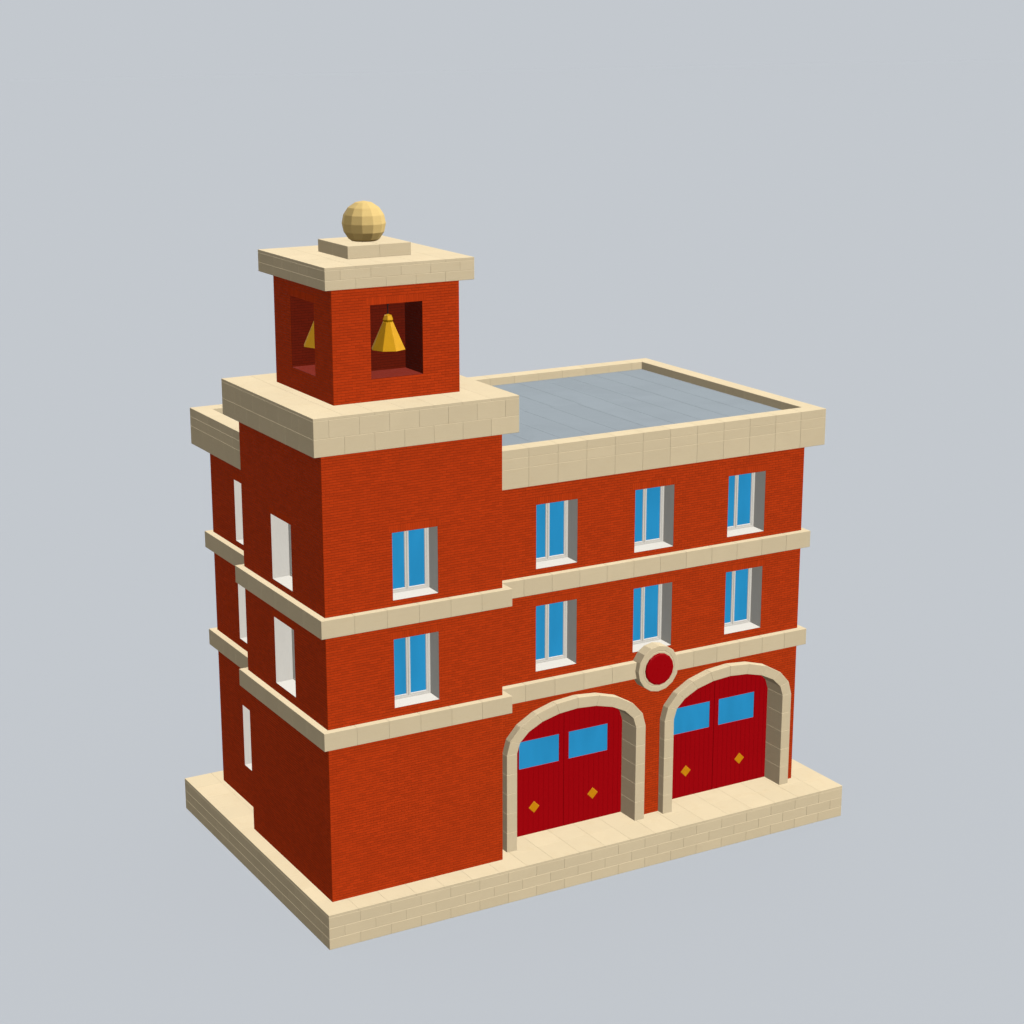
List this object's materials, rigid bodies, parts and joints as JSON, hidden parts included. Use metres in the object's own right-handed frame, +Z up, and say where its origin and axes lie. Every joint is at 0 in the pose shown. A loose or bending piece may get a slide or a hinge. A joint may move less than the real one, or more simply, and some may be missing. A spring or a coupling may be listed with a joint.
{
  "type": "fire station building",
  "caption": "Red brick fire station with cream stone bands, arched engine bays with hinged doors and a corner bell tower.",
  "frame": {"origin": "middle of the plinth's underside, on the ground", "axes": "+Z up, the engine bays face -Y, +X to the right seen from in front"},
  "size_m": [18.2, 11.2, 20.256],
  "materials": {
    "red_brick": "red painted brickwork",
    "cream_stone": "dressed cream stone",
    "concrete": "bare concrete",
    "roofing": "grey roof covering",
    "red_enamel": "deep red enamel",
    "sandstone": "warm sandstone",
    "white_paint": "white painted timber",
    "window_glass": "blue glass",
    "black_iron": "blackened iron",
    "door_paint": "deep red painted boards",
    "door_brass": "brass",
    "bell_brass": "polished bell metal"
  },
  "bodies": {
    "building": {"plinth": "cream_stone", "front_piers": "red_brick", "front_arch_wall": "red_brick", "front_upper_wall": "red_brick", "right_wall": "red_brick", "back_wall": "red_brick", "left_wall": "red_brick", "tower_front_wall": "red_brick", "tower_left_wall": "red_brick", "tower_inner_walls": "red_brick", "upper_floors": "concrete", "roof_slab": "roofing", "main_cornice": "cream_stone", "parapet": "cream_stone", "medallion_stone": "cream_stone", "medallion_disc": "red_enamel", "lower_string_course": "cream_stone", "upper_string_course": "cream_stone", "tower_cornice": "cream_stone", "belfry": "red_brick", "belfry_cap": "cream_stone", "finial_plinth": "cream_stone", "finial_ball": "sandstone", "window_frames": "white_paint", "window_linings": "white_paint", "window_glass": "window_glass", "door_surrounds": "cream_stone", "door_pintles": "black_iron", "bell_hangers": "black_iron"},
    "bay_1_left_door": {"bay_1_left_leaf": "door_paint", "bay_1_left_pane": "window_glass", "bay_1_left_fittings": "door_brass"},
    "bay_1_right_door": {"bay_1_right_leaf": "door_paint", "bay_1_right_pane": "window_glass", "bay_1_right_fittings": "door_brass"},
    "bay_2_left_door": {"bay_2_left_leaf": "door_paint", "bay_2_left_pane": "window_glass", "bay_2_left_fittings": "door_brass"},
    "bay_2_right_door": {"bay_2_right_leaf": "door_paint", "bay_2_right_pane": "window_glass", "bay_2_right_fittings": "door_brass"},
    "front_bell": {"front_bell": "bell_brass"},
    "right_bell": {"right_bell": "bell_brass"},
    "back_bell": {"back_bell": "bell_brass"},
    "left_bell": {"left_bell": "bell_brass"}
  },
  "joints": [
    {"name": "bay_1_left_door_hinge", "type": "hinge", "parent": "building", "child": "bay_1_left_door", "pos_m": [-2.483, -3.64, 2.75], "axis": [0, 0, 1], "range_deg": [0, 90]},
    {"name": "bay_1_right_door_hinge", "type": "hinge", "parent": "building", "child": "bay_1_right_door", "pos_m": [1.793, -3.64, 2.75], "axis": [0, 0, -1], "range_deg": [0, 90]},
    {"name": "bay_2_left_door_hinge", "type": "hinge", "parent": "building", "child": "bay_2_left_door", "pos_m": [3.117, -3.64, 2.75], "axis": [0, 0, 1], "range_deg": [0, 90]},
    {"name": "bay_2_right_door_hinge", "type": "hinge", "parent": "building", "child": "bay_2_right_door", "pos_m": [7.393, -3.64, 2.75], "axis": [0, 0, -1], "range_deg": [0, 90]},
    {"name": "front_bell_swing", "type": "hinge", "parent": "building", "child": "front_bell", "pos_m": [-5.9, -3.445, 17.59], "axis": [0, -1, 0], "range_deg": [-14, 14]},
    {"name": "right_bell_swing", "type": "hinge", "parent": "building", "child": "right_bell", "pos_m": [-4.5, -2.045, 17.59], "axis": [1, 0, 0], "range_deg": [-14, 14]},
    {"name": "back_bell_swing", "type": "hinge", "parent": "building", "child": "back_bell", "pos_m": [-5.9, -0.645, 17.59], "axis": [0, 1, 0], "range_deg": [-14, 14]},
    {"name": "left_bell_swing", "type": "hinge", "parent": "building", "child": "left_bell", "pos_m": [-7.3, -2.045, 17.59], "axis": [-1, 0, 0], "range_deg": [-14, 14]}
  ]
}
